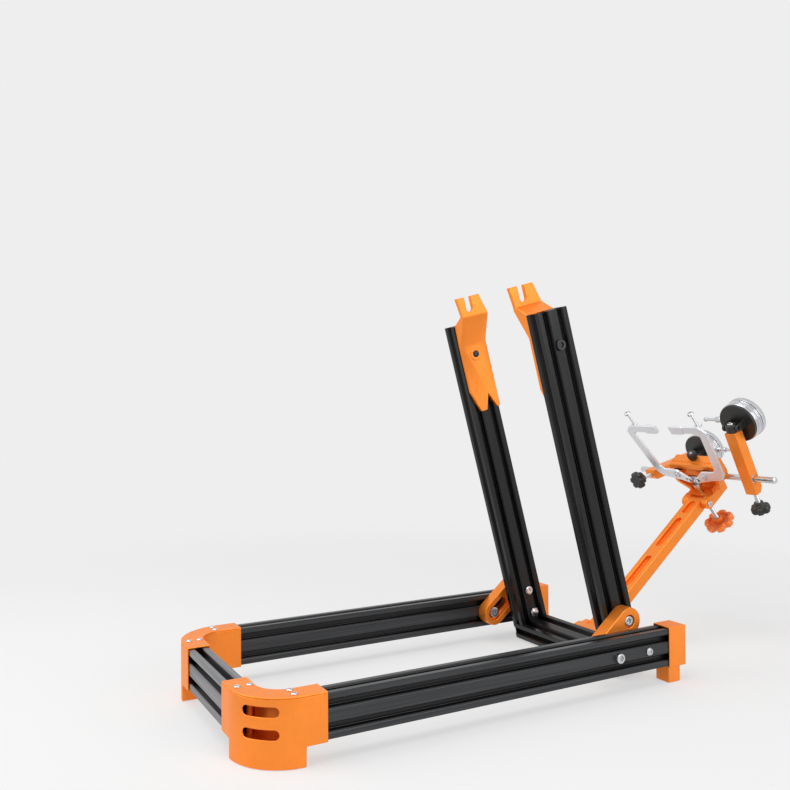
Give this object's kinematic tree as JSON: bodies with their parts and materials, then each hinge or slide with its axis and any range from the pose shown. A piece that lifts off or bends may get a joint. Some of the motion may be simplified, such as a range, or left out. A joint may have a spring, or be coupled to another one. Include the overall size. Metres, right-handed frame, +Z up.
{
  "type": "bicycle wheel truing stand",
  "caption": "Workshop stand that holds a bicycle wheel by its axle between two leaning uprights, with screw-driven caliper jaws and dial gauges on a swing arm.",
  "frame": {"origin": "on the floor at the middle of the four feet", "axes": "+X across to the near side, +Y from the rounded front corners to the caliper, +Z up"},
  "size_m": [0.266, 0.7909, 0.4386],
  "materials": {
    "orange_anodised": "orange anodised, fine satin",
    "black_anodised": "black anodised extrusion, satin",
    "silver_anodised": "clear anodised extrusion, satin",
    "black_steel": "black oxide",
    "black_plastic": "black moulded plastic",
    "clear_crystal": "clear",
    "chrome": "polished",
    "jaw_steel": "bright, lightly brushed",
    "bolt_steel": "zinc plated"
  },
  "bodies": {
    "base_frame": {"side_rail_right": "black_anodised", "side_rail_left": "black_anodised", "front_rail": "silver_anodised", "corner_casting_right": "orange_anodised", "corner_casting_left": "orange_anodised", "corner_cover_right": "orange_anodised", "corner_cover_left": "orange_anodised", "corner_screws": "bolt_steel", "rear_cap_right": "orange_anodised", "rear_cap_left": "orange_anodised", "tilt_bolts": "bolt_steel", "slot_bolts": "bolt_steel"},
    "uprights": {"upright_right": "black_anodised", "upright_left": "black_anodised", "rear_rail": "black_anodised", "link_bolts": "bolt_steel", "bracket_bolts": "black_steel", "clevis_block": "orange_anodised", "arm_pin": "bolt_steel"},
    "link_right": {"link_right": "orange_anodised"},
    "link_left": {"link_left": "orange_anodised"},
    "axle_bracket_right": {"axle_bracket_right": "orange_anodised"},
    "axle_bracket_left": {"axle_bracket_left": "orange_anodised"},
    "caliper_arm": {"caliper_arm": "orange_anodised", "head_pin": "bolt_steel"},
    "caliper_head": {"caliper_head": "orange_anodised", "jaw_bolts": "bolt_steel", "screw_bushing": "bolt_steel"},
    "rod_clamp_knob": {"rod_clamp_knob": "black_plastic"},
    "screw_swivel": {"screw_swivel": "bolt_steel"},
    "adjuster": {"adjusting_screw": "bolt_steel", "adjusting_knob": "orange_anodised"},
    "jaw_right": {"jaw_right": "jaw_steel"},
    "jaw_left": {"jaw_left": "jaw_steel"},
    "gauge_screw_right": {"gauge_screw_right": "bolt_steel"},
    "gauge_screw_left": {"gauge_screw_left": "bolt_steel"},
    "cross_rod": {"cross_rod": "chrome"},
    "arm_bush_right": {"arm_bush_right": "bolt_steel"},
    "dial_arm_right": {"dial_arm_right": "orange_anodised", "swivel_collar_right": "black_plastic"},
    "star_knob_right": {"star_knob_right": "black_plastic"},
    "dial_right": {"dial_back_right": "black_plastic", "dial_case_right": "chrome"},
    "bezel_right": {"dial_bezel_right": "chrome", "dial_crystal_right": "clear_crystal"},
    "pointer_right": {"dial_pointer_right": "black_plastic"},
    "plunger_right": {"dial_plunger_right": "chrome"},
    "arm_bush_left": {"arm_bush_left": "bolt_steel"},
    "dial_arm_left": {"dial_arm_left": "orange_anodised", "swivel_collar_left": "black_plastic"},
    "star_knob_left": {"star_knob_left": "black_plastic"},
    "dial_left": {"dial_back_left": "black_plastic", "dial_case_left": "chrome"},
    "bezel_left": {"dial_bezel_left": "chrome", "dial_crystal_left": "clear_crystal"},
    "pointer_left": {"dial_pointer_left": "black_plastic"},
    "plunger_left": {"dial_plunger_left": "chrome"}
  },
  "joints": [
    {"name": "upright_tilt", "type": "hinge", "parent": "base_frame", "child": "uprights", "pos_m": [0, 0.196, 0.0385], "axis": [1, 0, 0], "range_deg": [0, 35]},
    {"name": "link_right_swing", "type": "hinge", "parent": "uprights", "child": "link_right", "pos_m": [0, 0.18839, 0.0669], "axis": [1, 0, 0], "range_deg": [-32.5, 0.5]},
    {"name": "bracket_right_flip", "type": "hinge", "parent": "uprights", "child": "axle_bracket_right", "pos_m": [0, 0.108, 0.36691], "axis": [1, 0, 0], "range_deg": [0, 180]},
    {"name": "link_left_swing", "type": "hinge", "parent": "uprights", "child": "link_left", "pos_m": [0, 0.18839, 0.0669], "axis": [1, 0, 0], "range_deg": [-32.5, 0.5]},
    {"name": "bracket_left_flip", "type": "hinge", "parent": "uprights", "child": "axle_bracket_left", "pos_m": [0, 0.108, 0.36691], "axis": [1, 0, 0], "range_deg": [0, 180]},
    {"name": "arm_swing", "type": "hinge", "parent": "uprights", "child": "caliper_arm", "pos_m": [0, 0.2384, 0.02709], "axis": [1, 0, 0], "range_deg": [-25, 30]},
    {"name": "head_tilt", "type": "hinge", "parent": "caliper_arm", "child": "caliper_head", "pos_m": [0, 0.41665, 0.1718], "axis": [1, 0, 0], "range_deg": [-25, 25]},
    {"name": "clamp_knob_turn", "type": "hinge", "parent": "caliper_head", "child": "rod_clamp_knob", "pos_m": [0, 0.411, 0.23032], "axis": [0, -0.6303, 0.7764], "continuous": true},
    {"name": "swivel_travel", "type": "slide", "parent": "caliper_head", "child": "screw_swivel", "axis": [0, -0.6303, 0.7764], "range_m": [-0.00221, 0.00721]},
    {"name": "adjuster_turn", "type": "hinge", "parent": "screw_swivel", "child": "adjuster", "pos_m": [0, 0.46092, 0.14011], "axis": [0, -0.6303, 0.7764], "range_deg": [-792, 2592]},
    {"name": "jaw_right_swing", "type": "hinge", "parent": "caliper_head", "child": "jaw_right", "pos_m": [0.023, 0.40578, 0.20804], "axis": [0, 0.7764, 0.6303], "range_deg": [-6.8, 22]},
    {"name": "gauge_screw_right_turn", "type": "hinge", "parent": "jaw_right", "child": "gauge_screw_right", "pos_m": [0.054, 0.35608, 0.27719], "axis": [0, -0.6303, 0.7764], "continuous": true},
    {"name": "jaw_left_swing", "type": "hinge", "parent": "caliper_head", "child": "jaw_left", "pos_m": [-0.023, 0.40578, 0.20804], "axis": [0, 0.7764, 0.6303], "range_deg": [-22, 6.8]},
    {"name": "gauge_screw_left_turn", "type": "hinge", "parent": "jaw_left", "child": "gauge_screw_left", "pos_m": [-0.054, 0.35608, 0.27719], "axis": [0, -0.6303, 0.7764], "continuous": true},
    {"name": "rod_slide", "type": "slide", "parent": "caliper_head", "child": "cross_rod", "axis": [1, 0, 0], "range_m": [-0.0015, 0.003]},
    {"name": "bush_right_slide", "type": "slide", "parent": "cross_rod", "child": "arm_bush_right", "axis": [1, 0, 0], "range_m": [0, 0.029]},
    {"name": "dial_arm_right_turn", "type": "hinge", "parent": "arm_bush_right", "child": "dial_arm_right", "pos_m": [0.073, 0.42865, 0.20858], "axis": [1, 0, 0], "range_deg": [-90, 0]},
    {"name": "star_knob_right_turn", "type": "hinge", "parent": "dial_arm_right", "child": "star_knob_right", "pos_m": [0.073, 0.43789, 0.19028], "axis": [0, -0.4504, 0.8928], "continuous": true},
    {"name": "dial_right_swivel", "type": "hinge", "parent": "dial_arm_right", "child": "dial_right", "pos_m": [0.073, 0.39622, 0.27287], "axis": [1, 0, 0], "range_deg": [0, 85]},
    {"name": "bezel_right_turn", "type": "hinge", "parent": "dial_right", "child": "bezel_right", "pos_m": [0.073, 0.41988, 0.2848], "axis": [0, 0.8928, 0.4504], "continuous": true},
    {"name": "pointer_right_turn", "type": "hinge", "parent": "dial_right", "child": "pointer_right", "pos_m": [0.073, 0.41988, 0.2848], "axis": [0, 0.8928, 0.4504], "range_deg": [-3600, 0]},
    {"name": "plunger_right_press", "type": "slide", "parent": "dial_right", "child": "plunger_right", "axis": [1, 0, 0], "range_m": [0, 0.01], "stiffness_N_per_m": 60, "springref_m": -0.005},
    {"name": "bush_left_slide", "type": "slide", "parent": "cross_rod", "child": "arm_bush_left", "axis": [1, 0, 0], "range_m": [-0.026, 0.001]},
    {"name": "dial_arm_left_turn", "type": "hinge", "parent": "arm_bush_left", "child": "dial_arm_left", "pos_m": [-0.076, 0.42865, 0.20858], "axis": [1, 0, 0], "range_deg": [-15, 90]},
    {"name": "star_knob_left_turn", "type": "hinge", "parent": "dial_arm_left", "child": "star_knob_left", "pos_m": [-0.076, 0.40884, 0.20332], "axis": [0, 0.9665, 0.2566], "continuous": true},
    {"name": "dial_left_swivel", "type": "hinge", "parent": "dial_arm_left", "child": "dial_left", "pos_m": [-0.076, 0.49824, 0.22706], "axis": [1, 0, 0], "range_deg": [-101.9, 3]},
    {"name": "bezel_left_turn", "type": "hinge", "parent": "dial_left", "child": "bezel_left", "pos_m": [-0.076, 0.5219, 0.239], "axis": [0, 0.8928, 0.4504], "continuous": true},
    {"name": "pointer_left_turn", "type": "hinge", "parent": "dial_left", "child": "pointer_left", "pos_m": [-0.076, 0.5219, 0.239], "axis": [0, 0.8928, 0.4504], "range_deg": [-3600, 0]},
    {"name": "plunger_left_press", "type": "slide", "parent": "dial_left", "child": "plunger_left", "axis": [-1, 0, 0], "range_m": [0, 0.01], "stiffness_N_per_m": 60, "springref_m": -0.005}
  ],
  "couplings": [
    {"joint": "link_right_swing", "follows": "upright_tilt", "ratio": -0.92},
    {"joint": "link_left_swing", "follows": "upright_tilt", "ratio": -0.92},
    {"joint": "swivel_travel", "follows": "adjuster_turn", "m_per_rad": 0.00015915},
    {"joint": "jaw_right_swing", "follows": "adjuster_turn", "ratio": 0.0084352},
    {"joint": "jaw_left_swing", "follows": "adjuster_turn", "ratio": -0.0084352},
    {"joint": "pointer_right_turn", "follows": "plunger_right_press", "rad_per_m": -6283.2},
    {"joint": "pointer_left_turn", "follows": "plunger_left_press", "rad_per_m": -6283.2}
  ]
}
